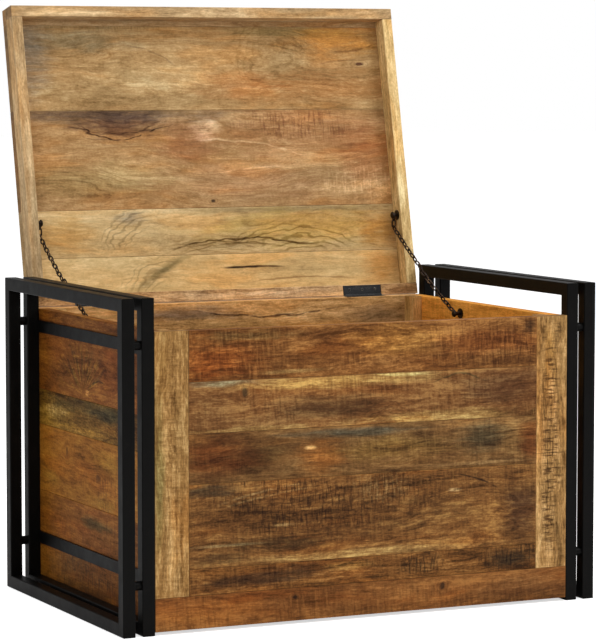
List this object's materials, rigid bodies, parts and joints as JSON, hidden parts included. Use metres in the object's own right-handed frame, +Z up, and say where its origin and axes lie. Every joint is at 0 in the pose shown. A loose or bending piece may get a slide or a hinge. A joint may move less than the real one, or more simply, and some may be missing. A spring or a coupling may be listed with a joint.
{
  "type": "lift-lid storage chest",
  "caption": "Low plank storage chest between black square-tube side frames, its lift lid standing open on butt hinges and stay chains.",
  "frame": {"origin": "centre of the footprint of the whole object with the lid open, on the floor", "axes": "+Z up, the front of the chest faces -Y, +X to the right as seen from the front"},
  "size_m": [0.8, 0.6468, 0.937],
  "materials": {
    "frame_steel": "satin black paint",
    "plank_wood": "waxed, reclaimed-looking",
    "pale_wood": "waxed",
    "base_wood": "waxed",
    "lid_wood": "waxed",
    "hinge_steel": "blackened steel",
    "chain_steel": "dark bronze finish"
  },
  "bodies": {
    "chest": {"left_outer_frame": "frame_steel", "left_inner_frame": "frame_steel", "right_outer_frame": "frame_steel", "right_inner_frame": "frame_steel", "front_base_plank": "base_wood", "front_left_stile": "pale_wood", "front_right_stile": "pale_wood", "front_plank_1": "plank_wood", "front_plank_2": "plank_wood", "front_plank_3": "plank_wood", "front_plank_4": "plank_wood", "front_plank_5": "plank_wood", "rear_plank_1": "plank_wood", "rear_plank_2": "plank_wood", "rear_plank_3": "plank_wood", "rear_plank_4": "plank_wood", "left_side_plank_1": "plank_wood", "left_side_plank_2": "plank_wood", "left_side_plank_3": "plank_wood", "left_side_plank_4": "plank_wood", "right_side_plank_1": "plank_wood", "right_side_plank_2": "plank_wood", "right_side_plank_3": "plank_wood", "right_side_plank_4": "plank_wood", "floor_board": "plank_wood", "front_left_batten": "pale_wood", "front_right_batten": "pale_wood", "rear_left_batten": "pale_wood", "rear_right_batten": "pale_wood", "left_hinge_box_leaf": "hinge_steel", "left_hinge_pin": "hinge_steel", "left_box_screw": "chain_steel", "right_hinge_box_leaf": "hinge_steel", "right_hinge_pin": "hinge_steel", "right_box_screw": "chain_steel"},
    "lid": {"lid_front_rim": "pale_wood", "lid_rear_rim": "pale_wood", "lid_left_rim": "pale_wood", "lid_right_rim": "pale_wood", "lid_plank_1": "lid_wood", "lid_plank_2": "lid_wood", "lid_plank_3": "lid_wood", "lid_plank_4": "lid_wood", "lid_plank_5": "lid_wood", "left_hinge_lid_leaf": "hinge_steel", "left_lid_screw": "chain_steel", "right_hinge_lid_leaf": "hinge_steel", "right_lid_screw": "chain_steel"},
    "left_box_chain_1": {"left_box_chain_1": "chain_steel"},
    "left_box_chain_2": {"left_box_chain_2": "chain_steel"},
    "left_box_chain_3": {"left_box_chain_3": "chain_steel"},
    "left_lid_chain_1": {"left_lid_chain_1": "chain_steel"},
    "left_lid_chain_2": {"left_lid_chain_2": "chain_steel"},
    "left_lid_chain_3": {"left_lid_chain_3": "chain_steel"},
    "right_box_chain_1": {"right_box_chain_1": "chain_steel"},
    "right_box_chain_2": {"right_box_chain_2": "chain_steel"},
    "right_box_chain_3": {"right_box_chain_3": "chain_steel"},
    "right_lid_chain_1": {"right_lid_chain_1": "chain_steel"},
    "right_lid_chain_2": {"right_lid_chain_2": "chain_steel"},
    "right_lid_chain_3": {"right_lid_chain_3": "chain_steel"}
  },
  "joints": [
    {"name": "lid_hinge", "type": "hinge", "parent": "chest", "child": "lid", "pos_m": [0, 0.17753, 0.4502], "axis": [1, 0, 0], "range_deg": [0, 102.1]},
    {"name": "left_box_chain_1_swing", "type": "hinge", "parent": "chest", "child": "left_box_chain_1", "pos_m": [-0.3204, -0.00847, 0.4305], "axis": [1, 0, 0], "range_deg": [-96.5, 0]},
    {"name": "left_box_chain_2_swing", "type": "hinge", "parent": "left_box_chain_1", "child": "left_box_chain_2", "pos_m": [-0.3204, 0.03088, 0.44978], "axis": [1, 0, 0], "range_deg": [0, 77.1]},
    {"name": "left_box_chain_3_swing", "type": "hinge", "parent": "left_box_chain_2", "child": "left_box_chain_3", "pos_m": [-0.3204, 0.07015, 0.47032], "axis": [1, 0, 0], "range_deg": [0, 19.6]},
    {"name": "left_lid_chain_1_swing", "type": "hinge", "parent": "lid", "child": "left_lid_chain_1", "pos_m": [-0.3234, 0.22035, 0.58318], "axis": [1, 0, 0], "range_deg": [0, 9.9]},
    {"name": "left_lid_chain_2_swing", "type": "hinge", "parent": "left_lid_chain_1", "child": "left_lid_chain_2", "pos_m": [-0.3234, 0.22035, 0.56194], "axis": [1, 0, 0], "range_deg": [0, 35.3]},
    {"name": "left_lid_chain_3_swing", "type": "hinge", "parent": "left_lid_chain_2", "child": "left_lid_chain_3", "pos_m": [-0.3234, 0.16441, 0.52526], "axis": [1, 0, 0], "range_deg": [-116.4, 0]},
    {"name": "right_box_chain_1_swing", "type": "hinge", "parent": "chest", "child": "right_box_chain_1", "pos_m": [0.3204, -0.00847, 0.4305], "axis": [1, 0, 0], "range_deg": [-96.5, 0]},
    {"name": "right_box_chain_2_swing", "type": "hinge", "parent": "right_box_chain_1", "child": "right_box_chain_2", "pos_m": [0.3204, 0.03088, 0.44978], "axis": [1, 0, 0], "range_deg": [0, 77.1]},
    {"name": "right_box_chain_3_swing", "type": "hinge", "parent": "right_box_chain_2", "child": "right_box_chain_3", "pos_m": [0.3204, 0.07015, 0.47032], "axis": [1, 0, 0], "range_deg": [0, 19.6]},
    {"name": "right_lid_chain_1_swing", "type": "hinge", "parent": "lid", "child": "right_lid_chain_1", "pos_m": [0.3234, 0.22035, 0.58318], "axis": [1, 0, 0], "range_deg": [0, 9.9]},
    {"name": "right_lid_chain_2_swing", "type": "hinge", "parent": "right_lid_chain_1", "child": "right_lid_chain_2", "pos_m": [0.3234, 0.22035, 0.56194], "axis": [1, 0, 0], "range_deg": [0, 35.3]},
    {"name": "right_lid_chain_3_swing", "type": "hinge", "parent": "right_lid_chain_2", "child": "right_lid_chain_3", "pos_m": [0.3234, 0.16441, 0.52526], "axis": [1, 0, 0], "range_deg": [-116.4, 0]}
  ],
  "couplings": [
    {"joint": "left_box_chain_1_swing", "follows": "lid_hinge", "ratio": -0.9354},
    {"joint": "left_box_chain_2_swing", "follows": "lid_hinge", "ratio": 0.7453},
    {"joint": "left_box_chain_3_swing", "follows": "lid_hinge", "ratio": 0.1822},
    {"joint": "left_lid_chain_1_swing", "follows": "lid_hinge", "ratio": 0.0872},
    {"joint": "left_lid_chain_2_swing", "follows": "lid_hinge", "ratio": 0.3364},
    {"joint": "left_lid_chain_3_swing", "follows": "lid_hinge", "ratio": -1.1304},
    {"joint": "right_box_chain_1_swing", "follows": "lid_hinge", "ratio": -0.9354},
    {"joint": "right_box_chain_2_swing", "follows": "lid_hinge", "ratio": 0.7453},
    {"joint": "right_box_chain_3_swing", "follows": "lid_hinge", "ratio": 0.1822},
    {"joint": "right_lid_chain_1_swing", "follows": "lid_hinge", "ratio": 0.0872},
    {"joint": "right_lid_chain_2_swing", "follows": "lid_hinge", "ratio": 0.3364},
    {"joint": "right_lid_chain_3_swing", "follows": "lid_hinge", "ratio": -1.1304}
  ]
}
